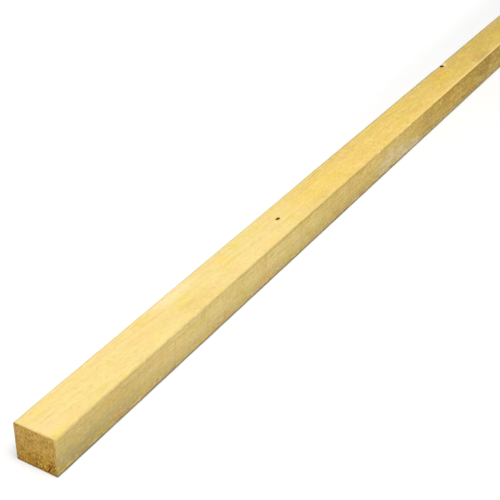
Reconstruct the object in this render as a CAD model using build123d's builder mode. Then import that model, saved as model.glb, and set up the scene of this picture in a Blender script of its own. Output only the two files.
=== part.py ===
"""Roof batten: one length of sawn softwood, in millimetres.

The batten lies on one of its wide faces. The origin is on that face, under the middle of the length.
+X runs along the grain, away from the end that has the split in it, and +Z is up.
"""

import os
from math import atan2, degrees, hypot

from build123d import *

# Sawn stock
length = 1800.0
width = 38.0
height = 35.0
long_arris_radius = 1.4  # the four arrises along the grain, worn round in handling
end_arris_radius = 0.5  # the arrises round both cross-cut ends

# Pin knot that has dropped out of the top face
pin_knot_from_end = 344.0
pin_knot_from_side = 20.7  # from the side at -Y to the middle of the hole
pin_knot_along = 5.4
pin_knot_across = 3.4
pin_knot_depth = 2.4

# Dead knot beside the top arris at +Y, in a shallow hollow where the arris is worn away
edge_knot_from_end = 757.0
edge_knot_from_side = 3.9  # from the side at +Y to the middle of the hole
edge_knot_along = 7.0
edge_knot_across = 4.2
edge_knot_depth = 3.0
edge_hollow_length = 62.0
edge_hollow_depth = 1.3  # measured from the sharp corner that the arris is rounded from

# A knot hole narrows to this share of its mouth
knot_floor_share = 0.55

# Bark pocket that has opened into a slanted split in the end at -X
split_top_from_side = 4.4  # from the side at -Y
split_top_from_base = 9.8
split_foot_from_side = 8.6
split_foot_from_base = 2.6
split_width = 0.9
split_depth = 4.0

near_end = -length / 2
near_side = -width / 2
far_side = width / 2

pin_knot = (near_end + pin_knot_from_end, near_side + pin_knot_from_side)
edge_knot = (near_end + edge_knot_from_end, far_side - edge_knot_from_side)

with BuildPart() as batten:
    # The sawn section, with its four arrises eased
    with BuildSketch(Plane.YZ.offset(near_end)) as section:
        Rectangle(width, height, align=(Align.CENTER, Align.MIN))
        fillet(section.vertices(), long_arris_radius)
    extrude(amount=length)

    # The two cross-cut ends
    ends = batten.faces().filter_by(Axis.X)
    fillet(ends.edges(), end_arris_radius)

    # The worn hollow along the top arris at +Y, a wide arc scooped square to the arris
    hollow_radius = ((edge_hollow_length / 2) ** 2 + edge_hollow_depth**2) / (2 * edge_hollow_depth)
    hollow_plane = Plane(
        origin=(near_end + edge_knot_from_end, far_side, height),
        x_dir=(1, 0, 0),
        z_dir=(0, -1, 1),
    )
    with BuildSketch(hollow_plane):
        with Locations((0, hollow_radius - edge_hollow_depth)):
            Circle(hollow_radius)
    extrude(amount=height / 2, both=True, mode=Mode.SUBTRACT)

    # Each knot hole is a tapering oval in the top face, its long way along the grain
    for middle, along, across, depth in (
        (pin_knot, pin_knot_along, pin_knot_across, pin_knot_depth),
        (edge_knot, edge_knot_along, edge_knot_across, edge_knot_depth),
    ):
        with BuildSketch(Plane.XY.offset(height)):
            with Locations(middle):
                Ellipse(along / 2, across / 2)
        with BuildSketch(Plane.XY.offset(height - depth)):
            with Locations(middle):
                Ellipse(along / 2 * knot_floor_share, across / 2 * knot_floor_share)
        loft(mode=Mode.SUBTRACT)

    # The split in the end, a slot with round tips that runs down and away from the side at -Y
    split_run = split_foot_from_side - split_top_from_side
    split_drop = split_foot_from_base - split_top_from_base
    split_middle = (
        near_side + (split_top_from_side + split_foot_from_side) / 2,
        (split_top_from_base + split_foot_from_base) / 2,
    )
    with BuildSketch(Plane.YZ.offset(near_end)):
        with Locations(split_middle):
            SlotOverall(
                hypot(split_run, split_drop),
                split_width,
                rotation=degrees(atan2(split_drop, split_run)),
            )
    extrude(amount=split_depth, mode=Mode.SUBTRACT)

batten.part.label = "batten"

os.makedirs("parts", exist_ok=True)
export_step(batten.part, "parts/batten.step")
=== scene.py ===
"""Roof batten: one length of sawn softwood, dressed in its growth rings, saw marks, knots and end grain.

Lengths are in metres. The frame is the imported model's: +X runs along the grain, away from the end that has
the split in it, +Z is up, and the batten lies on the floor at z = 0.
"""

import math
from collections import namedtuple

import bpy
import numpy as np
from mathutils import Matrix, Vector


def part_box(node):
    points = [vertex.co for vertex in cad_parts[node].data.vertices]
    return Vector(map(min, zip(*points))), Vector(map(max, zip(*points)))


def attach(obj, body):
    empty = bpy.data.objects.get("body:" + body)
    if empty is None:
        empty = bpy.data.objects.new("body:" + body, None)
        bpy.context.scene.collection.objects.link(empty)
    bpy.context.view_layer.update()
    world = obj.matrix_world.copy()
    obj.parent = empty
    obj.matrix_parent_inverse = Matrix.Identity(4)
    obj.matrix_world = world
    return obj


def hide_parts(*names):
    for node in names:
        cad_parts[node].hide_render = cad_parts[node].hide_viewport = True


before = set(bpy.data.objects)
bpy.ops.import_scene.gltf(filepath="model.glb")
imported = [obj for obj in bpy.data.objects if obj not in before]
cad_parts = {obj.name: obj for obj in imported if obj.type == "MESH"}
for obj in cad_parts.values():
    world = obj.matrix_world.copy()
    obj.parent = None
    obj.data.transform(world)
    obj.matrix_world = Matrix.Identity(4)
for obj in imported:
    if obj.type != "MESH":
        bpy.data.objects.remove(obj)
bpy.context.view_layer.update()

MM = 0.001

# The batten's sides, read from the frame
(NEAR_END, NEAR_SIDE, BASE), (FAR_END, FAR_SIDE, TOP) = (tuple(corner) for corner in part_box("batten"))
ARRIS = 1.4 * MM
END_ARRIS = 0.5 * MM

# Knot holes in the top face: middle, half length along the grain, half width across it, depth
Knot = namedtuple("Knot", "x y along across depth")
PIN_KNOT = Knot(NEAR_END + 344 * MM, NEAR_SIDE + 20.7 * MM, 2.7 * MM, 1.7 * MM, 2.4 * MM)
EDGE_KNOT = Knot(NEAR_END + 757 * MM, FAR_SIDE - 3.9 * MM, 3.5 * MM, 2.1 * MM, 3.0 * MM)
KNOTS = (PIN_KNOT, EDGE_KNOT)
KNOT_FLOOR = 0.55  # a hole's floor as a share of its mouth

# The worn hollow in the arris beside the edge knot
HOLLOW_LENGTH = 62 * MM
HOLLOW_DEPTH = 1.3 * MM

# The split in the near end, from its top down to its foot, as (y, z)
SPLIT_TOP = (NEAR_SIDE + 4.4 * MM, BASE + 9.8 * MM)
SPLIT_FOOT = (NEAR_SIDE + 8.6 * MM, BASE + 2.6 * MM)
SPLIT_HALF_WIDTH = 0.45 * MM
SPLIT_DEPTH = 4.0 * MM

# How far along x, y and z the near end's top corner at -Y is worn away
WORN_CORNER = (2.6 * MM, 2.8 * MM, 6.5 * MM)

# Bark in the near end: middle, half length along the split's slant, half width across it, dent
Bark = namedtuple("Bark", "y z along across depth")


def bark(aside, up, along, across, depth):
    """A mark of bark, aside from the side at -Y and up from the base, all in millimetres."""
    return Bark(NEAR_SIDE + aside * MM, BASE + up * MM, along * MM, across * MM, depth * MM)


BARK = (
    bark(7.6, 7.4, 1.7, 0.62, 0.9),
    bark(8.7, 2.4, 1.1, 0.60, 0.9),
    bark(3.0, 8.8, 1.7, 0.28, 0.4),
    bark(2.6, 6.0, 1.4, 0.24, 0.3),
    bark(4.3, 4.8, 1.4, 0.22, 0.3),
    bark(27.0, 24.8, 0.7, 0.45, 0.3),
)

# A blotch or faint line in the wood: middle, half size along X and across it, colour on a screen, strength
Blotch = namedtuple("Blotch", "x y z along across colour strength")


def on_top(gone, y, along, across, colour, strength):
    """A blotch on the top, gone from the near end and y from the middle line, in millimetres."""
    return Blotch(NEAR_END + gone * MM, y * MM, TOP, along * MM, across * MM, colour, strength)


def on_side(gone, up, along, across, colour, strength):
    """A blotch on the side at -Y, gone from the near end and up from the base, in millimetres."""
    return Blotch(NEAR_END + gone * MM, NEAR_SIDE, BASE + up * MM, along * MM, across * MM, colour, strength)


def on_end(aside, up, along, across, colour, strength):
    """A blotch on the near end, aside from the side at -Y and up from the base, in millimetres."""
    return Blotch(NEAR_END, NEAR_SIDE + aside * MM, BASE + up * MM, along * MM, across * MM, colour, strength)


BLOTCHES = (
    on_top(10, -5, 16, 9, (248, 208, 156), 0.40),
    on_top(17, 11, 5, 3.5, (246, 218, 100), 0.35),
    on_top(12, 14, 4, 2.5, (244, 196, 136), 0.40),
    on_top(37, 13, 12, 2.5, (248, 204, 132), 0.35),
    on_top(63, 14, 6, 2.5, (246, 204, 140), 0.30),
    on_top(258, 8, 9, 5, (250, 206, 96), 0.40),
    on_top(190, 13, 34, 6, (255, 234, 190), 0.40),
    on_top(196, -11, 26, 7, (226, 190, 104), 0.35),
    on_top(800, 5, 14, 9, (236, 184, 100), 0.35),
    on_top(731, 2, 26, 7, (226, 190, 56), 0.50),
    on_top(741, 9, 10, 4, (236, 172, 92), 0.50),
    on_top(415, 1, 60, 13, (240, 202, 88), 0.30),
    on_top(18, 1.0, 12, 0.5, (206, 164, 98), 0.30),
    on_top(22, 5.5, 6, 0.5, (210, 168, 100), 0.25),
    on_top(186, -4.0, 14, 0.5, (188, 150, 76), 0.40),
    on_top(190, -6.4, 12, 0.5, (188, 150, 76), 0.35),
    on_side(68, 5, 22, 3, (176, 126, 80), 0.25),
    on_side(221, 8, 4, 3, (214, 146, 90), 0.50),
    on_side(283, 10, 8, 4, (226, 160, 84), 0.50),
    on_side(548, 13, 36, 12, (240, 226, 192), 0.60),
    on_side(598, 6, 34, 8, (252, 246, 212), 0.55),
    on_side(812, 25, 24, 16, (130, 96, 12), 0.45),
    on_side(722, 21, 24, 6, (240, 200, 90), 0.40),
    on_side(643, 19, 14, 8, (176, 150, 116), 0.40),
    on_side(718, 13, 17, 4, (228, 168, 44), 0.60),
    on_side(745, 8, 7, 3, (206, 142, 56), 0.50),
    on_side(771, 14, 12, 6, (206, 150, 4), 0.70),
)
# Broad zones of the near end, laid under its texture
END_BLOTCHES = (
    on_end(32.5, 24.5, 9, 5.0, (226, 176, 112), 0.45),
    on_end(23.6, 23.0, 9, 4.0, (192, 150, 54), 0.45),
    on_end(8.0, 26.0, 9, 5.5, (222, 170, 84), 0.35),
    on_end(31.0, 12.0, 5, 2.6, (138, 112, 30), 0.50),
    on_end(26.0, 9.0, 5, 3.0, (206, 130, 44), 0.50),
    on_end(17.0, 12.0, 5, 3.6, (150, 116, 24), 0.40),
    on_end(20.0, 5.0, 5, 5.0, (150, 100, 2), 0.45),
    on_end(13.6, 2.8, 5, 2.4, (212, 130, 56), 0.55),
    on_end(36.0, 5.0, 5, 2.6, (184, 130, 84), 0.50),
)
# Smaller marks of the near end, laid on its texture
END_SPOTS = (
    on_end(23.4, 28.3, 3, 0.8, (126, 84, 30), 0.45),
    on_end(20.6, 29.8, 3, 0.7, (126, 84, 30), 0.40),
    on_end(34.6, 18.5, 3, 1.2, (140, 92, 40), 0.40),
    on_end(31.9, 10.0, 3, 0.9, (255, 214, 124), 0.60),
    on_end(15.7, 5.4, 3, 0.9, (255, 222, 140), 0.65),
    on_end(4.6, 11.6, 3, 1.4, (118, 84, 28), 0.45),
    on_end(2.4, 2.4, 5, 3.4, (132, 120, 84), 0.45),
)

# Relief at its deepest, on the sawn faces and then on the cut ends
EARLY_WOOD, RIPPLE, RUBBED_ARRIS = 0.05 * MM, 0.08 * MM, 0.22 * MM
END_EARLY_WOOD, SCORE, TEAR = 0.06 * MM, 0.16 * MM, 0.16 * MM
SPLIT_TOP_SHARE, SPLIT_FOOT_SHARE = 0.05, 0.38  # how much of the split's depth is open at its top and foot

# How closely the mesh's points stand: along the batten and over its section, and closer where there is shape
RUN_STEP, SECTION_STEP = 5.5 * MM, 0.85 * MM
NEAR_ENDS, NEAR_ENDS_STEP = 14 * MM, 1.2 * MM
NEAR_ARRIS, NEAR_ARRIS_STEP = 1.6 * MM, 0.4 * MM
KNOT_RUN_STEP, KNOT_SECTION_STEP = 0.55 * MM, 0.42 * MM
HOLLOW_STEP = 2.5 * MM
NEAR_SPLIT, NEAR_SPLIT_STEP = 1.2 * MM, 0.22 * MM

# Where the wood turns from pale to ochre and its marks grow stronger, as a distance from the near end
TURNS_OCHRE = (0.30, 0.50)

# Growth of the trunk
RING = 3.0 * MM
PITH_Y, PITH_Z = NEAR_SIDE + 6.0 * MM, BASE + 5.0 * MM
PITH_DRIFT = (-9 * MM, -24 * MM)  # across and up, for each metre along
TAPER = 5 * MM  # the rings draw in by this much for each metre along


def waves(points, lengths, seed, count=28):
    """A smooth random field, mostly between -1 and 1.

    It is the sum of cosine waves of random direction and phase. Each is about as long along x, y and z as
    lengths says.
    """
    draw = np.random.default_rng(seed)
    ways = draw.normal(size=(3, count))
    ways *= draw.uniform(0.6, 1.6, count) / np.linalg.norm(ways, axis=0)
    ways *= 2 * np.pi / np.array(lengths)[:, None]
    phases = draw.uniform(0, 2 * np.pi, count)
    return np.cos(points @ ways + phases).sum(-1) / math.sqrt(2 * count)


def smoothstep(low, high, value):
    """0 below low, 1 above high, and 3t^2 - 2t^3 of the way t between them."""
    t = np.clip((value - low) / (high - low), 0, 1)
    return t * t * (3 - 2 * t)


def spaced(low, high, coarse, closer=()):
    """Places from low to high, coarse apart, and closer near each (middle, reach, step) of closer.

    Places per metre are added up along the line, and a place stands wherever the sum passes a whole share.
    """
    line = np.linspace(low, high, 20001)
    density = np.full_like(line, 1 / coarse)
    for middle, reach, step in closer:
        density = np.maximum(density, np.exp(-(((line - middle) / reach) ** 4)) / step)
    total = np.concatenate([[0], np.cumsum((density[1:] + density[:-1]) / 2 * np.diff(line))])
    return np.interp(np.linspace(0, total[-1], math.ceil(total[-1]) + 1), total, line)


def oval(knot, x, y):
    """Distance from a knot's middle, counted so that the rim of its hole is at 1."""
    return np.hypot((x - knot.x) / knot.along, (y - knot.y) / knot.across)


def along_split(y, z):
    """The distance of each point of the end from the split's line, and its share of the way to the foot."""
    run = np.subtract(SPLIT_FOOT, SPLIT_TOP)
    y, z = y - SPLIT_TOP[0], z - SPLIT_TOP[1]
    share = np.clip((y * run[0] + z * run[1]) / (run @ run), 0, 1)
    return np.hypot(y - share * run[0], z - share * run[1]), share


def off_bark(mark, y, z):
    """Distance from the middle of a mark of bark, counted so that its rim is at 1."""
    slant = np.subtract(SPLIT_FOOT, SPLIT_TOP)
    slant = slant / np.linalg.norm(slant)
    y, z = y - mark.y, z - mark.z
    return np.hypot((y * slant[0] + z * slant[1]) / mark.along, (y * slant[1] - z * slant[0]) / mark.across)


def ring_count(points):
    """How many yearly rings lie between the pith and each point.

    It is the distance from the pith's leaning line, less the trunk's taper, over the width of a ring. Slow
    waves make the rings uneven, and near a knot the point is read nearer to the knot's middle, so that
    the lines bow out round it.
    """
    x, y, z = np.moveaxis(points, -1, 0)
    for knot in KNOTS:
        aside = y - knot.y
        near = np.exp(-(((x - knot.x) / (14 * MM)) ** 2) - (aside / (6 * MM)) ** 2)
        y = y - 0.7 * aside * near
    gone = x - NEAR_END
    across = y - PITH_Y - PITH_DRIFT[0] * gone + 1.5 * MM * np.sin(gone * 9)
    up = z - PITH_Z - PITH_DRIFT[1] * gone + 1.2 * MM * np.sin(gone * 7 + 1)
    out = np.hypot(across, up)
    out = out * (1 + 0.05 * waves(points, (0.5, 0.05, 0.05), 3)) + TAPER * gone
    return out / RING + 0.35 * waves(np.stack([0 * out, 0 * out, out], -1), (1, 1, 9 * MM), 4)


def eased(y, z, inset):
    """Draws points of the sharp section in, so that its corners become quarter discs.

    Inside the section everything stays. In the border, one arris radius wide, a point keeps its direction
    from the core's nearest point and takes the longer of its two distances, less its share of inset.
    Returns y, z and the outward direction.
    """
    half = np.array([FAR_SIDE - NEAR_SIDE, TOP - BASE]) / 2
    middle = np.array([FAR_SIDE + NEAR_SIDE, TOP + BASE]) / 2
    place = np.stack([y, z], -1) - middle
    core = np.clip(place, ARRIS - half, half - ARRIS)
    out = place - core
    reach = np.abs(out).max(-1, keepdims=True)
    way = out / np.maximum(np.linalg.norm(out, axis=-1, keepdims=True), 1e-9)
    place = middle + core + way * reach * (1 - inset / ARRIS)
    return place[..., 0], place[..., 1], way


def rim(rows, columns):
    """The places round the edge of a grid, anticlockwise from its first corner."""
    a, b = np.arange(rows - 1), np.arange(columns - 1)
    return (
        np.concatenate([a, 0 * b + rows - 1, a[::-1] + 1, 0 * b]),
        np.concatenate([0 * a, b, 0 * a + columns - 1, b[::-1] + 1]),
    )


def skin_relief(points, ways, rings):
    """How far the sawn faces lie below the true faces, never less than nothing.

    Late wood stands proud of early wood, the saw left slow ripples across the grain, the arrises are
    rubbed unevenly, and the knot holes have sloping walls.
    """
    x, y, z = np.moveaxis(points, -1, 0)
    early = 0.5 + 0.5 * np.cos(2 * np.pi * (rings - 0.25))
    ripple = 0.5 + 0.5 * waves(points, (16 * MM, 0.3, 0.3), 5)
    corner = np.abs(2 * ways[..., 0] * ways[..., 1])
    rubbed = 0.5 + 0.5 * waves(points, (30 * MM, 12 * MM, 12 * MM), 6)
    depth = EARLY_WOOD * early + RIPPLE * ripple + RUBBED_ARRIS * corner * np.clip(rubbed, 0, 1)
    for knot in KNOTS:
        hole = 1 - smoothstep(KNOT_FLOOR, 1.0, oval(knot, x, y))
        depth = depth + knot.depth * hole * (ways[..., 1] > 0.5)
    return np.clip(depth, 0, None)


def worn_hollow(points):
    """Presses the arris beside the edge knot in, to a plane at 45 degrees that follows a wide arc."""
    x, y, z = np.moveaxis(points, -1, 0)
    radius = ((HOLLOW_LENGTH / 2) ** 2 + HOLLOW_DEPTH**2) / (2 * HOLLOW_DEPTH)
    depth = HOLLOW_DEPTH - (x - EDGE_KNOT.x) ** 2 / (2 * radius)
    beyond = ((y - FAR_SIDE) + (z - TOP)) / math.sqrt(2) + depth
    push = np.clip(beyond, 0, None) / math.sqrt(2)
    return points - np.stack([0 * push, push, push], -1)


def worn_corner(points):
    """Presses the near end's top corner at -Y in, to the plane that cuts its three edges WORN_CORNER away."""
    way = np.array([-1, -1, 1]) / WORN_CORNER
    long = np.linalg.norm(way)
    beyond = ((points - (NEAR_END, NEAR_SIDE, TOP)) @ way + 1) / long
    return points - np.clip(beyond, 0, None)[..., None] * way / long


def end_relief(y, z, rings, near):
    """How far a cut end lies behind its true plane.

    Slanting saw scores, tears and rubbed-down early wood lower it a little, and on the near end the split,
    which is open most towards its foot, and the dents of the bark lower it more.
    """
    slanted = np.stack([0 * y, 0.85 * y - 0.53 * z, 0.53 * y + 0.85 * z], -1)
    early = 0.5 + 0.5 * np.cos(2 * np.pi * (rings - 0.25))
    scores = 0.5 + 0.5 * waves(slanted, (1, 2.4 * MM, 16 * MM), 7 + near)
    torn = 0.5 + 0.5 * waves(slanted, (1, 4 * MM, 6 * MM), 17 + near)
    depth = END_EARLY_WOOD * early + SCORE * np.clip(scores, 0, 1) + TEAR * np.clip(torn, 0, 1)
    if near:
        gap, share = along_split(y, z)
        slot = 1 - smoothstep(0.1 * SPLIT_HALF_WIDTH, 1.1 * SPLIT_HALF_WIDTH, gap)
        opened = SPLIT_TOP_SHARE + (SPLIT_FOOT_SHARE - SPLIT_TOP_SHARE) * smoothstep(0.3, 0.8, share)
        depth = depth + SPLIT_DEPTH * slot * opened
        for mark in BARK:
            depth = depth + mark.depth * (1 - smoothstep(0.3, 1.2, off_bark(mark, y, z)))
    return depth


def arris_shade_share(y, z):
    """Painted shade on each point of the section: most at its corners, least at the one of the top at -Y."""
    from_side = np.minimum(y - NEAR_SIDE, FAR_SIDE - y)
    from_face = np.minimum(z - BASE, TOP - z)
    low = z < TOP / 2
    reach = np.maximum(from_side, from_face)
    shade_share = 1 - smoothstep(np.where(low, 1.2, 0.7) * MM, np.where(low, 3.4, 3.0) * MM, reach)
    return shade_share * np.where(low | (y > 0), 1, 0.2)


def lean_to_split(y, z):
    """Leans the end's columns of points to the slant of the split, so that it lies along them."""
    middle = (SPLIT_TOP[0] + SPLIT_FOOT[0]) / 2
    run = np.subtract(SPLIT_FOOT, SPLIT_TOP)
    share = np.clip((z - SPLIT_TOP[1]) / run[1], 0, 1)
    shift = (share - 0.5) * run[0]
    window = np.cos(np.clip(np.abs(y - middle) / (6.3 * MM), 0, 1) * np.pi / 2) ** 2
    window = window * smoothstep(0, 2.4 * MM, z - BASE) * (1 - smoothstep(10 * MM, 20 * MM, z - BASE))
    return y + shift * window


# The bake's map: the skin in strips, one above the other, and the two ends beside them
STRIPS = 3
STRIP_ACROSS = 0.79  # how much of the map's width the strips take
END_ACROSS = 0.185  # how much of it an end takes
NEAR_END_UP, FAR_END_UP = 0.1, 0.5  # how far up the map the base of each end lies
MAP_EDGE = 0.006  # bare map kept round each of them


def skin_map(x, inset, loop_y, loop_z):
    """The map's places for the corners of the skin's faces.

    Distance along the batten runs across the map, from zero again in each strip, and distance round the
    section runs up the strip.
    """
    run = np.concatenate([[0], np.cumsum(np.hypot(np.diff(x), np.diff(inset)))])
    wrapped_y, wrapped_z = np.append(loop_y, loop_y[0]), np.append(loop_z, loop_z[0])
    turn = np.concatenate([[0], np.cumsum(np.hypot(np.diff(wrapped_y), np.diff(wrapped_z)))])
    cuts = np.searchsorted(run, run[-1] * np.arange(1, STRIPS) / STRIPS)
    strip = np.searchsorted(cuts, np.arange(len(x) - 1), side="right")
    starts = run[np.append(0, cuts)]
    longest = np.diff(np.append(starts, run[-1])).max()
    left = (run[:-1] - starts[strip]) / longest
    right = (run[1:] - starts[strip]) / longest
    across = MAP_EDGE + np.stack([left, left, right, right], -1) * (STRIP_ACROSS - 2 * MAP_EDGE)
    turn = turn / turn[-1]
    up = np.stack([turn[:-1], turn[1:], turn[1:], turn[:-1]], -1)
    up = (strip[:, None, None] + MAP_EDGE + up[None] * (1 - 2 * MAP_EDGE)) / STRIPS
    return np.stack([across[:, None] + 0 * up, up], -1).reshape(-1, 4, 2)


def end_map(y, z, near):
    """The map's places for the grid of an end: its section, drawn square on at the right of the strips."""
    scale = END_ACROSS / (FAR_SIDE - NEAR_SIDE)
    across = STRIP_ACROSS + MAP_EDGE + (y - NEAR_SIDE) * scale
    up = (NEAR_END_UP if near else FAR_END_UP) + z * scale
    return np.stack([across, up], -1)


def places_along():
    """Places of the skin's rings along X, and how far each ring is drawn in.

    A quarter circle, END_ARRIS in radius, rounds the skin over to each end.
    """
    turn = np.radians([0, 30, 60, 90])
    step_in, step_down = END_ARRIS * (1 - np.cos(turn)), END_ARRIS * (1 - np.sin(turn))
    closer = [(end, NEAR_ENDS, NEAR_ENDS_STEP) for end in (NEAR_END, FAR_END)]
    closer += [(knot.x, 2.4 * knot.along, KNOT_RUN_STEP) for knot in KNOTS]
    closer += [(EDGE_KNOT.x, 0.6 * HOLLOW_LENGTH, HOLLOW_STEP)]
    run = spaced(NEAR_END + END_ARRIS, FAR_END - END_ARRIS, RUN_STEP, closer)
    x = np.concatenate([NEAR_END + step_in[:-1], run, FAR_END - step_in[-2::-1]])
    inset = np.concatenate([step_down[:-1], 0 * run, step_down[-2::-1]])
    return x, inset


def section_grid():
    """A grid of y and z over the sharp section, with its lines closer by the arrises, knots and split."""
    closer = [(side, NEAR_ARRIS, NEAR_ARRIS_STEP) for side in (NEAR_SIDE, FAR_SIDE)]
    closer += [(knot.y, 1.6 * knot.across, KNOT_SECTION_STEP) for knot in KNOTS]
    closer += [((SPLIT_TOP[0] + SPLIT_FOOT[0]) / 2, NEAR_SPLIT, NEAR_SPLIT_STEP)]
    ys = spaced(NEAR_SIDE, FAR_SIDE, SECTION_STEP, closer)
    closer = [(side, NEAR_ARRIS, NEAR_ARRIS_STEP) for side in (BASE, TOP)]
    zs = spaced(BASE, TOP, SECTION_STEP, closer)
    return np.meshgrid(ys, zs, indexing="ij")


def skin_grid(x, inset, loop_y, loop_z):
    """The skin as a grid of points, one ring for each place in x, with growth rings, painted arris shade and
    map places.

    It is the eased section, carried along X and lowered by the relief of the sawn faces, which fades out
    over the arrises of the ends.
    """
    y, z, ways = eased(loop_y[None], loop_z[None], inset[:, None, None])
    points = np.stack([x[:, None] + 0 * y, y, z], -1)
    rings = ring_count(points)
    depth = skin_relief(points, ways, rings) * (1 - inset / END_ARRIS)[:, None]
    points[..., 1:] -= ways * depth[..., None]
    middle = len(x) // 2
    return worn_hollow(points), rings, arris_shade_share(y, z) + 0 * rings, skin_map(x, inset, y[middle], z[middle])


def end_grid(x, grid_y, grid_z, near):
    """A cut end at x as a grid of points over the eased section, with its growth rings and map places."""
    y, z, _ = eased(grid_y, grid_z, END_ARRIS)
    if near:
        y = lean_to_split(y, z)
    points = np.stack([x + 0 * y, y, z], -1)
    rings = ring_count(points)
    border = np.minimum.reduce([y - NEAR_SIDE, FAR_SIDE - y, z - BASE, TOP - z])
    depth = end_relief(y, z, rings, near) * smoothstep(END_ARRIS, END_ARRIS + 0.8 * MM, border)
    points[..., 0] += depth if near else -depth
    return points, rings, end_map(y, z, near)


def cells(grid, turned=False):
    """The four corners of each cell of a grid, in the order that makes its face point outwards."""
    corners = [grid[:-1, :-1], grid[:-1, 1:], grid[1:, 1:], grid[1:, :-1]][:: -1 if turned else 1]
    return np.stack(corners, 2).reshape(-1, 4, *grid.shape[2:])


def batten_mesh():
    """The whole batten as one closed mesh.

    Its skin is carried along X, and each end is a grid over the section whose rim is the skin's last ring.
    The ends and the faces round their rims take the second material. Point attributes count the growth
    rings and hold the painted shade of the arrises.
    """
    x, inset = places_along()
    grid_y, grid_z = section_grid()
    edge = rim(*grid_y.shape)
    skin, rings, worn, map_places = skin_grid(x, inset, grid_y[edge], grid_z[edge])
    stations, girth = rings.shape
    ids = np.arange(stations * girth).reshape(stations, girth)
    following = np.roll(ids, -1, axis=1)
    quads = np.stack([ids[:-1], following[:-1], following[1:], ids[1:]], -1).reshape(-1, 4)
    end_wood = np.zeros((stations - 1, girth), int)
    end_wood[[0, -1]] = 1
    points, faces, kinds = [skin.reshape(-1, 3)], [quads], [end_wood.ravel()]
    marks = {"rings": [rings.ravel()], "worn": [worn.ravel()]}
    places = [map_places]

    inner = tuple(size - 2 for size in grid_y.shape)
    first_free = ids.size
    for near, station in ((True, 0), (False, stations - 1)):
        end, rings, flat = end_grid(x[station], grid_y, grid_z, near)
        end_ids = np.zeros(grid_y.shape, int)
        end_ids[1:-1, 1:-1] = first_free + np.arange(inner[0] * inner[1]).reshape(inner)
        end_ids[edge] = ids[station]
        first_free += inner[0] * inner[1]
        points.append(end[1:-1, 1:-1].reshape(-1, 3))
        marks["rings"].append(rings[1:-1, 1:-1].ravel())
        marks["worn"].append(np.zeros(inner).ravel())
        faces.append(cells(end_ids, turned=not near))
        places.append(cells(flat, turned=not near))
        kinds.append(np.ones(len(faces[-1]), int))

    mesh = bpy.data.meshes.new("sawn_batten")
    faces = np.concatenate(faces)
    mesh.from_pydata(worn_corner(np.concatenate(points)), [], faces)
    mesh.polygons.foreach_set("material_index", np.concatenate(kinds).astype(np.int32))
    mesh.polygons.foreach_set("use_smooth", np.ones(len(faces), bool))
    for name, values in marks.items():
        values = np.concatenate(values).astype(np.float32)
        mesh.attributes.new(name, "FLOAT", "POINT").data.foreach_set("value", values)
    mesh.uv_layers.new(name="OFBake").data.foreach_set("uv", np.concatenate(places).ravel())
    mesh.update()
    return mesh


class Wire:
    """A value on its way through a material's nodes. Arithmetic on it adds Math nodes."""

    def __init__(self, tree, socket=None):
        self.tree, self.socket = tree, socket

    def node(self, kind, settings=None, sockets=None, output=0):
        """Adds a node, changes its settings, then fills its sockets, and returns one of its outputs."""
        node = self.tree.nodes.new(kind)
        for name, value in (settings or {}).items():
            setattr(node, name, value)
        for key, value in (sockets or {}).items():
            socket = pick(node.inputs, key)
            if isinstance(value, Wire):
                self.tree.links.new(value.socket, socket)
            else:
                socket.default_value = value
        return None if output is None else Wire(self.tree, pick(node.outputs, output))

    def maths(self, operation, *values):
        """A Math node on this value and the others."""
        sockets = dict(enumerate((self, *values)))
        return self.node("ShaderNodeMath", {"operation": operation}, sockets)

    def vector(self, operation, other=None, output=0):
        """A Vector Math node on this vector, and on the other where there is one."""
        sockets = {0: self} if other is None else {0: self, 1: other}
        return self.node("ShaderNodeVectorMath", {"operation": operation}, sockets, output)

    def __add__(self, other):
        return self.maths("ADD", other)

    def __sub__(self, other):
        return self.maths("SUBTRACT", other)

    def __mul__(self, other):
        return self.maths("MULTIPLY", other)

    def __rsub__(self, other):
        return self.node("ShaderNodeMath", {"operation": "SUBTRACT"}, {0: other, 1: self})

    __radd__, __rmul__ = __add__, __mul__


def pick(sockets, key):
    """A node's socket by its number, name or identifier."""
    if isinstance(key, int):
        return sockets[key]
    return next(s for s in sockets if key in (s.identifier, s.name))


def step(value, low, high):
    """A smooth rise from 0 at low to 1 at high, or a fall where low is the larger."""
    sockets = {"Value": value, "From Min": low, "From Max": high}
    return value.node("ShaderNodeMapRange", {"interpolation_type": "SMOOTHSTEP"}, sockets, "Result")


def mixed(factor, under, over):
    """The colour under with the colour over laid on it, as strongly as factor."""
    sockets = {"Factor_Float": factor, "A_Color": under, "B_Color": over}
    return factor.node("ShaderNodeMix", {"data_type": "RGBA"}, sockets, "Result_Color")


def marked(colour, marks):
    """Lays marks on a colour.

    Each mark has a texture, the values at which it begins and is full, a strength and a shade.
    """
    for texture, begins, full, strength, shade in marks:
        colour = mixed(step(texture, begins, full) * strength, colour, srgb(*shade))
    return colour


def noise(place, stretch, seed, detail=2.0, roughness=0.5):
    """Noise between about 0 and 1, with stretch spots to the metre along x, y and z."""
    moved = place.vector("MULTIPLY", stretch).vector("ADD", (seed, 2.7 * seed, 0.3 * seed))
    sockets = {"Vector": moved, "Scale": 1.0, "Detail": detail, "Roughness": roughness}
    return place.node("ShaderNodeTexNoise", {"noise_dimensions": "3D"}, sockets, "Fac")


def axes(place):
    """A place's x, y and z, each as a wire of its own."""
    return [place.node("ShaderNodeSeparateXYZ", sockets={0: place}, output=axis) for axis in "XYZ"]


def attribute(wire, name):
    """A value that the mesh's points carry."""
    return wire.node("ShaderNodeAttribute", {"attribute_name": name}, output="Fac")


def srgb(red, green, blue):
    """A colour given as it shows on a screen, 0 to 255, as the linear colour that a material takes."""
    return (*(((c / 255 + 0.055) / 1.055) ** 2.4 for c in (red, green, blue)), 1.0)


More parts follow.
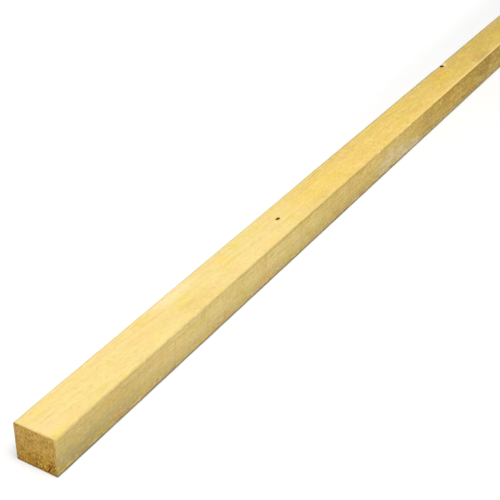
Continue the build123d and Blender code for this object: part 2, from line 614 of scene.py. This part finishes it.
def begin(name):
    """A new material, a wire into its nodes, and the place of the point being coloured."""
    material = bpy.data.materials.new(name)
    material.use_nodes = True
    material.node_tree.nodes.clear()
    wire = Wire(material.node_tree)
    return material, wire, wire.node("ShaderNodeTexCoord", output="Object")


def surface(wire, colour, roughness, height, relief):
    """Ends a material: matt bare wood of this colour, its height turned into a bump of relief metres."""
    bump = wire.node("ShaderNodeBump", sockets={"Strength": 1.0, "Distance": relief, "Height": height})
    sockets = {
        "Base Color": colour,
        "Roughness": roughness,
        "Normal": bump,
        "Specular IOR Level": 0.2,
    }
    shader = wire.node("ShaderNodeBsdfPrincipled", sockets=sockets)
    wire.node("ShaderNodeOutputMaterial", sockets={"Surface": shader}, output=None)


def late_wood(wire, place):
    """How much of each point is dark late wood: rising slowly through the year and ending sharply."""
    rings = attribute(wire, "rings") + (noise(place, (60, 900, 900), 11) - 0.5) * 0.2
    season = rings.maths("FRACT")
    year = rings.maths("FLOOR")
    strength = wire.node("ShaderNodeTexWhiteNoise", {"noise_dimensions": "1D"}, {"W": year}, "Value")
    late = step(season, 0.35, 0.88) * step(season, 1.0, 0.94)
    return late * (0.35 + 0.65 * strength)


def off_knot(place, knot):
    """Distance from a knot's middle in the top face, counted so that the rim of its hole is at 1."""
    from_middle = place.vector("SUBTRACT", (knot.x, knot.y, TOP))
    counted = from_middle.vector("MULTIPLY", (1 / knot.along, 1 / knot.across, 1 / (2 * knot.depth)))
    return counted.vector("LENGTH", output="Value")


def off_stroke(place, y, z, along, across):
    """Distance from the middle of a stroke on the near end that slants as the split does, its rim at 1."""
    slant = Vector((0, *np.subtract(SPLIT_FOOT, SPLIT_TOP))).normalized()
    turned = Vector((0, -slant.z, slant.y))
    from_middle = place.vector("SUBTRACT", (NEAR_END, y, z))
    lengths = [from_middle.vector("DOT_PRODUCT", way, "Value") for way in (slant / along, turned / across)]
    inwards = from_middle.vector("DOT_PRODUCT", (1 / (3 * MM), 0, 0), "Value")
    joined = place.node("ShaderNodeCombineXYZ", sockets={0: lengths[0], 1: lengths[1], 2: inwards})
    return joined.vector("LENGTH", output="Value")


def bark_colours(place, colour):
    """Colours the split and the bark beside it a dark reddish brown, with ragged edges.

    The split is two strokes with plain wood between them, and the one at its top is shorter and fainter.
    """
    ragged = (noise(place, (900, 900, 900), 33, detail=2.0) - 0.5) * 0.5
    run = np.subtract(SPLIT_FOOT, SPLIT_TOP)
    strokes = []
    for share, half, strength in ((0.12, 0.20, 0.75), (0.76, 0.32, 0.95)):
        middle = SPLIT_TOP + share * run
        strokes.append((*middle, half * np.linalg.norm(run), SPLIT_HALF_WIDTH * 1.15, strength))
    strokes += [(mark.y, mark.z, mark.along, mark.across, 0.85) for mark in BARK]
    for y, z, along, across, strength in strokes:
        far = off_stroke(place, y, z, along, across) + ragged
        colour = mixed(step(far, 2.4, 1.0) * 0.40, colour, srgb(170, 108, 42))
        colour = mixed(step(far, 1.3, 0.8) * strength, colour, srgb(132, 74, 26))
    return colour


def knot_colours(place, colour):
    """Colours the knot holes: dark inside, with a brown rim and a patch of pale wood round it."""
    ragged = (noise(place, (900, 900, 900), 31, detail=3.0) - 0.5) * 0.5
    shades = (
        (PIN_KNOT, srgb(114, 92, 4), srgb(240, 208, 142), 0.5, 0.0),
        (EDGE_KNOT, srgb(44, 28, 2), srgb(240, 206, 166), 0.85, 4.5 * MM),
    )
    for knot, inside, around, paleness, shift in shades:
        far = off_knot(place, knot) + ragged
        halo = off_knot(place, knot._replace(x=knot.x + shift)) + ragged
        colour = mixed(step(halo, 2.4, 1.0) * paleness, colour, around)
        colour = mixed(step(far, 1.4, 1.0) * 0.4, colour, srgb(150, 112, 52))
        colour = mixed(step(far, 1.15, 0.85), colour, inside)
    return colour


def blotched(place, colour, blotches):
    """Lays blotches and lines on the colour, with soft and ragged edges."""
    ragged = (noise(place, (160, 420, 420), 32, detail=2.0) - 0.5) * 0.9
    for blotch in blotches:
        from_middle = place.vector("SUBTRACT", (blotch.x, blotch.y, blotch.z))
        counted = from_middle.vector("MULTIPLY", (1 / blotch.along, 1 / blotch.across, 1 / blotch.across))
        far = counted.vector("LENGTH", output="Value") + ragged
        colour = mixed(step(far, 1.3, 0.4) * blotch.strength, colour, srgb(*blotch.colour))
    return colour


def plain_wood(gone, aside, up, front, below):
    """The wood's colour under its texture.

    gone is the distance from the near end. The wood is pale there and ochre further on, where it darkens,
    partly in its own tone and partly as painted shade of the light falling off along it. front is 1 on the
    side at -Y, which is duller, partly by painted shade, and below is 1 where that side is clear of its top
    arris.
    """
    colour = mixed(step(gone, *TURNS_OCHRE), srgb(234, 210, 138), srgb(235, 202, 108))
    # Further on it darkens, partly in its own tone and partly as painted shade of the light falling off along
    # it
    colour = mixed(step(gone, 0.52, 0.95), colour, srgb(208, 177, 84))

    # The top is greyer along its back and paler along its front, further on
    greyer = step(aside, 1 * MM, FAR_SIDE) * step(gone, 0.36, 0.50)
    colour = mixed(greyer * 0.28, colour, srgb(192, 174, 116))
    paler = step(aside, -5 * MM, -16 * MM) * step(gone, 0.34, 0.60) * (1.0 - front)
    colour = mixed(paler * 0.35, colour, srgb(246, 208, 120))

    # The side at -Y is paler from about 0.1 to 0.6 m from the near end, and ochre beyond that
    middle = step(gone, 0.06, 0.18) * step(gone, 0.66, 0.54)
    beyond = front * step(gone, 0.56, 0.72)
    colour = mixed(below * middle * 0.35, colour, srgb(252, 230, 150))
    colour = mixed(beyond * 0.6, colour, srgb(208, 168, 52))

    # Painted shade makes it greyer low down and greener by the near end, and greyer still low
    # down by the near end. Further on it is pale by its foot and ochre by its top
    colour = mixed(front * step(up, BASE + 26 * MM, BASE) * 0.44, colour, srgb(150, 136, 96))
    colour = mixed(front * step(gone, 0.17, 0.06) * 0.20, colour, srgb(170, 142, 24))
    foot = step(up, TOP - 4 * MM, BASE + 10 * MM)
    colour = mixed(front * foot * step(gone, 0.12, 0.01) * 0.40, colour, srgb(132, 130, 96))
    colour = mixed(beyond * step(up, BASE + 16 * MM, BASE + 6 * MM) * 0.50, colour, srgb(232, 226, 136))
    by_top = step(up, TOP - 24 * MM, TOP - 3 * MM)
    return mixed((front * 0.03 + beyond * 0.52) * by_top, colour, srgb(180, 140, 8))


def mark_strengths(gone, aside, up):
    """How strong the broad marks, the fine marks and the coloured patches of the sides are at each point.

    The sides are rougher than the top and the base, most further on. They are calmest half way up, and
    their fine marks are strongest by the foot.
    """
    ochre = step(gone, *TURNS_OCHRE)
    side = step(aside.maths("ABSOLUTE"), FAR_SIDE - 1.0 * MM, FAR_SIDE - 0.3 * MM)
    further = side * step(gone, 0.60, 0.80)
    by_top = step(up, BASE + 18 * MM, BASE + 28 * MM)
    by_foot = step(up, BASE + 13 * MM, BASE + 5 * MM)
    broad = 0.60 + 0.48 * ochre + 0.7 * further
    broad = broad + side * (1.1 + 0.9 * ochre) * (0.42 + 0.24 * by_top + 0.40 * by_foot)
    fine = 1.0 + 0.8 * ochre + (1.5 + 1.6 * by_foot) * further
    fine = fine + side * (1.5 + 1.1 * ochre) * (0.60 + 0.44 * by_top + 1.80 * by_foot)
    patchy = side * (0.5 + 0.5 * ochre) * (0.7 + 0.3 * by_foot)
    return broad, fine, patchy


def front_arris_shade_and_highlight(gone, over, colour):
    """Draws the lines along the arris between the top and the side at -Y.

    In the nearer half a line of painted shade lies on the arris itself. Further on the arris is pale on top,
    a painted highlight, and a line of painted shade runs along the side just under it.
    """
    # In the nearer half, painted shade on the arris itself
    on_arris = step(over, 1.3 * MM, 0.5 * MM) * step(over, -3.4 * MM, -1.0 * MM)
    on_arris_shade = step(gone, 0.50, 0.40) * (0.10 + 0.09 * step(gone, 0.10, 0.26))
    colour = mixed(on_arris * on_arris_shade, colour, srgb(146, 118, 40))
    # Further on, a painted highlight along the arris and the top's front edge
    edge = step(over, -0.9 * MM, 0.2 * MM) * step(over, 4.0 * MM, 1.2 * MM) * step(gone, 0.50, 0.72)
    colour = mixed(edge * 0.45, colour, srgb(255, 226, 146))
    # A line of painted shade on the side under the arris, yellowish from about 0.2 m and deep olive further
    # on
    under = step(over, -0.3 * MM, -1.2 * MM) * step(over, -4.5 * MM, -1.8 * MM)
    colour = mixed(under * step(gone, 0.18, 0.30) * 0.32, colour, srgb(208, 180, 44))
    under_arris_shade = 0.02 + 0.16 * step(gone, 0.22, 0.36) * step(gone, 0.52, 0.44) + 0.46 * step(gone, 0.60, 0.74)
    return mixed(under * under_arris_shade, colour, srgb(140, 112, 28))


def darkened_arrises(wire, gone, aside, up, over, colour):
    """Paints shade on the arrises: at the foot all along, and at the top's back most further on.

    It also browns the top along the near end.
    """
    # The colour laid on the arrises is painted shade: dark by the floor at the foot, greyish along the top's
    # back
    low = step(up, 0.6 * TOP, 0.4 * TOP)
    back = mixed(step(gone, *TURNS_OCHRE), srgb(200, 190, 142), srgb(134, 130, 108))
    shade_colour = mixed(low, back, srgb(98, 94, 72))
    shading = 0.45 + 0.5 * low + 0.20 * step(gone, 0.56, 0.74) * (1.0 - low)
    colour = mixed(attribute(wire, "worn") * shading, colour, shade_colour)
    by_end = step(gone, 1.8 * MM, 0.5 * MM) * step(over, 0.5 * MM, 2.5 * MM)
    return mixed(by_end * (0.25 + 0.25 * step(aside, 4 * MM, -14 * MM)), colour, srgb(176, 138, 72))


def sawn_faces():
    """Pale yellow sawn softwood: faint rings, fibres along the grain, saw marks across it and a furry nap."""
    material, wire, place = begin("sawn_faces")
    x, aside, up = axes(place)
    gone = x - NEAR_END
    late = late_wood(wire, place)
    streak = noise(place, (5, 420, 420), 8, detail=3.0, roughness=0.55)
    fibre = noise(place, (30, 950, 950), 1, detail=3.0, roughness=0.6)
    fleck = noise(place, (130, 700, 700), 9, detail=2.0, roughness=0.6)
    coarse = noise(place, (260, 420, 420), 7, detail=3.0, roughness=0.65)
    broad = noise(place, (70, 230, 230), 12, detail=3.0, roughness=0.6)
    nap = noise(place, (700, 2600, 2600), 2, detail=3.0, roughness=0.65)
    saw = noise(place, (430, 30, 30), 3, detail=2.0)
    yellow = noise(place, (36, 95, 95), 4, detail=3.0)
    pink = noise(place, (32, 80, 80), 5, detail=3.0)
    clear = noise(place, (9, 60, 60), 6, detail=2.0)

    # Over the arris between the top and the side at -Y: above 0 on the top, below 0 on the side. The side's
    # colour begins on the top's part of the round arris in the nearer half, and under the arris further on
    over = aside - NEAR_SIDE + up - TOP
    lifted = (2.4 * step(gone, 0.50, 0.42) - 0.8) * MM
    front = step(over - lifted, 0.6 * MM, -0.6 * MM)
    front = front * step(aside, NEAR_SIDE + 6 * MM, NEAR_SIDE + 2 * MM)
    below = front * step(over, -0.6 * MM, -1.8 * MM)
    colour = plain_wood(gone, aside, up, front, below)
    pinkness = 0.50 - 0.22 * step(gone, *TURNS_OCHRE)
    colour = marked(colour, (
        (yellow, 0.48, 0.72, 0.50, (226, 206, 92)),
        (pink, 0.50, 0.74, pinkness, (244, 200, 132)),
    ))
    colour = blotched(place, colour, BLOTCHES)

    blunt, rough, patchy = mark_strengths(gone, aside, up)
    tint = mixed(step(gone, 0.50, 0.68), srgb(238, 192, 132), srgb(222, 170, 60))
    colour = mixed(step(pink, 0.42, 0.66) * patchy * 0.45, colour, tint)
    colour = mixed(step(yellow, 0.42, 0.66) * patchy * 0.45, colour, srgb(206, 184, 74))
    colour = mixed(late * (0.07 + 0.20 * step(clear, 0.46, 0.70)), colour, srgb(190, 146, 70))
    colour = marked(colour, (
        (streak, 0.48, 0.72, (rough - 0.5) * 0.08, (172, 134, 66)),
        (fibre, 0.50, 0.74, rough * 0.09, (170, 126, 44)),
        (fleck, 0.56, 0.74, rough * 0.15, (160, 118, 36)),
        (fleck, 0.42, 0.26, rough * 0.12, (255, 238, 200)),
        (broad, 0.50, 0.72, blunt * 0.10, (176, 132, 40)),
        (broad, 0.48, 0.30, blunt * 0.14, (255, 232, 170)),
        (coarse, 0.50, 0.70, blunt * 0.20, (176, 134, 40)),
        (coarse, 0.46, 0.30, blunt * 0.22, (255, 236, 190)),
        (nap, 0.46, 0.24, rough * 0.14, (158, 116, 44)),
        (saw, 0.56, 0.75, rough * 0.06, (170, 132, 70)),
    ))
    colour = front_arris_shade_and_highlight(gone, over, colour)
    colour = darkened_arrises(wire, gone, aside, up, over, colour)
    colour = knot_colours(place, colour)

    height = late * 0.2 + streak * 0.3 + fibre * 0.4 + nap * 0.4 + saw * 0.4 + coarse * 0.6 + fleck * 0.4
    surface(wire, colour, 0.75 + 0.15 * nap, height, 0.45 * MM)
    return material


def end_grain():
    """A rough-sawn end: tan, mottled and redder towards the base, with faint rings, saw scores and bark."""
    material, wire, place = begin("end_grain")
    aside, up = axes(place)[1:]
    late = late_wood(wire, place)
    turn = {"Vector": place, "Angle": math.radians(-58)}
    slanted = wire.node("ShaderNodeVectorRotate", {"rotation_type": "X_AXIS"}, turn)
    pores = noise(place, (200, 1500, 1500), 21, detail=3.0, roughness=0.6)
    strokes = noise(slanted, (60, 260, 700), 22, detail=3.0, roughness=0.6)
    scratch = noise(slanted, (60, 420, 1300), 26, detail=2.0, roughness=0.6)
    pale = noise(slanted, (60, 300, 480), 23, detail=2.0)
    patches = noise(place, (60, 120, 120), 24, detail=3.0)
    red = noise(slanted, (60, 150, 300), 25, detail=2.0)
    low = step(up, BASE + 26 * MM, BASE + 1 * MM)

    colour = mixed(low, srgb(239, 192, 95), srgb(222, 163, 6))
    colour = mixed(step(patches, 0.42, 0.66) * 0.45, colour, srgb(204, 172, 64))
    colour = blotched(place, colour, END_BLOTCHES)
    colour = mixed(late * 0.16, colour, srgb(150, 100, 42))
    colour = marked(colour, (
        (strokes, 0.48, 0.62, 0.40 + 0.36 * low, (130, 90, 24)),
        (pale, 0.54, 0.68, 0.35 + 0.35 * low, (246, 212, 124)),
        (red, 0.52, 0.68, 0.10 + 0.45 * low, (200, 122, 34)),
        (scratch, 0.52, 0.66, 0.50 + 0.20 * low, (142, 88, 6)),
        (scratch, 0.47, 0.33, 0.50 + 0.20 * low, (255, 226, 150)),
        (pores, 0.50, 0.75, 0.25, (140, 86, 26)),
    ))

    # Its edge is paler by the side at -Y, wider at the foot and the top. Painted shade darkens it at the
    # foot, and it is greyer along the back
    by_foot = step(up, BASE + 24 * MM, BASE + 8 * MM)
    by_top = step(up, TOP - 6 * MM, TOP - 0.5 * MM)
    border = NEAR_SIDE + (1.0 + 3.6 * by_foot + 2.4 * by_top) * MM
    colour = marked(colour, (
        (aside, border, NEAR_SIDE + 0.4 * MM, 0.65, (220, 192, 108)),
        (up, BASE + 3.2 * MM, BASE + 0.8 * MM, 0.5, (92, 82, 56)),
        (aside, FAR_SIDE - 2.6 * MM, FAR_SIDE - 0.6 * MM, 0.35, (134, 128, 112)),
    ))
    colour = blotched(place, colour, END_SPOTS)
    colour = bark_colours(place, colour)
    height = late * 0.2 + pores * 0.5 + strokes * 0.9 + pale * 0.4 + scratch * 0.5
    surface(wire, colour, 0.85 + 0.1 * pores, height, 0.42 * MM)
    return material


def dressed_batten():
    """The batten that shows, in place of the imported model's plain one."""
    piece = bpy.data.objects.new("sawn_batten", batten_mesh())
    bpy.context.scene.collection.objects.link(piece)
    piece.data.materials.append(sawn_faces())
    piece.data.materials.append(end_grain())
    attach(piece, "root")
    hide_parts("batten")
    return piece


# The camera, as measured in the photograph from the long edges and the near end
CAMERA_PLACE = Vector((NEAR_END - 0.4431, -0.4358, 0.5660))
CAMERA_AIM = Vector((NEAR_END + 0.28434, -0.00460, 0.03478))
CAMERA_ROLL = math.radians(0.927)
CAMERA_LENS, CAMERA_SENSOR = 81.96, 36  # mm


def camera():
    """The photograph's camera: above the near end, looking along the batten and down."""
    lens = bpy.data.cameras.new("camera")
    lens.lens, lens.sensor_width = CAMERA_LENS, CAMERA_SENSOR
    lens.clip_start, lens.clip_end = 0.01, 100
    ahead = (CAMERA_AIM - CAMERA_PLACE).normalized()
    level = ahead.cross(Vector((0, 0, 1))).normalized()
    right = math.cos(CAMERA_ROLL) * level + math.sin(CAMERA_ROLL) * level.cross(ahead)
    turned = Matrix((right, right.cross(ahead), -ahead)).transposed().to_4x4()
    seen_by = bpy.data.objects.new("camera", lens)
    seen_by.matrix_world = Matrix.Translation(CAMERA_PLACE) @ turned
    bpy.context.scene.collection.objects.link(seen_by)
    bpy.context.scene.camera = seen_by


FLOOR_REACH = 20.0
FLOOR_GLOW = 1.38  # what the camera sees of the floor is partly this glow, so that it is white
FLOOR_GLOWING, FLOOR_SHADOWED = 0.65, 0.30  # how much of it is, away from the batten and beside it


def floor():
    """A wide pale floor that looks white to the camera, with less glow beside the batten for its shadow."""
    mesh = bpy.data.meshes.new("floor")
    low, high = -FLOOR_REACH, FLOOR_REACH
    mesh.from_pydata([(low, low, 0), (high, low, 0), (high, high, 0), (low, high, 0)], [], [(0, 1, 2, 3)])
    material, wire, place = begin("pale_floor")
    rays = ("Is Camera Ray", "Is Glossy Ray", "Is Transmission Ray")
    seen = [wire.node("ShaderNodeLightPath", output=name) for name in rays]
    plain = wire.node("ShaderNodeBsdfDiffuse", sockets={"Color": (0.75, 0.75, 0.75, 1)})
    white = wire.node("ShaderNodeEmission", sockets={"Color": (1, 1, 1, 1), "Strength": FLOOR_GLOW})
    beside = step(axes(place)[1].maths("ABSOLUTE"), 160 * MM, 60 * MM)
    glowing = FLOOR_GLOWING - (FLOOR_GLOWING - FLOOR_SHADOWED) * beside
    share = (seen[0] + seen[1] + seen[2]).maths("MINIMUM", 1.0) * glowing
    shader = wire.node("ShaderNodeMixShader", sockets={0: share, 1: plain, 2: white})
    wire.node("ShaderNodeOutputMaterial", sockets={"Surface": shader}, output=None)
    mesh.materials.append(material)
    ground = bpy.data.objects.new("floor", mesh)
    bpy.context.scene.collection.objects.link(ground)


def lamp(name, place, aim, size, power):
    """A square soft lamp at place, facing aim."""
    light = bpy.data.lights.new(name, "AREA")
    light.shape, light.size, light.energy = "SQUARE", size, power
    lit = bpy.data.objects.new(name, light)
    way = Vector(aim) - Vector(place)
    lit.matrix_world = Matrix.Translation(place) @ way.to_track_quat("-Z", "Y").to_matrix().to_4x4()
    lit.visible_camera = False
    bpy.context.scene.collection.objects.link(lit)


def studio():
    """Soft light from above both halves, and a plain sky that looks white to the camera."""
    world = bpy.data.worlds.new("studio")
    bpy.context.scene.world = world
    world.use_nodes = True
    world.node_tree.nodes.clear()
    wire = Wire(world.node_tree)
    seen = wire.node("ShaderNodeLightPath", output="Is Camera Ray")
    soft = wire.node("ShaderNodeBackground", sockets={"Color": (1, 1, 1, 1), "Strength": 0.30})
    white = wire.node("ShaderNodeBackground", sockets={"Color": (1, 1, 1, 1), "Strength": 1.0})
    shader = wire.node("ShaderNodeMixShader", sockets={0: seen, 1: soft, 2: white})
    wire.node("ShaderNodeOutputWorld", sockets={"Surface": shader}, output=None)
    lamp("softbox", place=(-1.0, -0.60, 2.1), aim=(-0.6, 0, 0), size=1.2, power=50)
    lamp("far_softbox", place=(1.35, -0.15, 0.85), aim=(1.35, -0.15, 0), size=0.5, power=5)
    bpy.context.scene.view_settings.view_transform = "Standard"


dressed_batten()
camera()
floor()
studio()
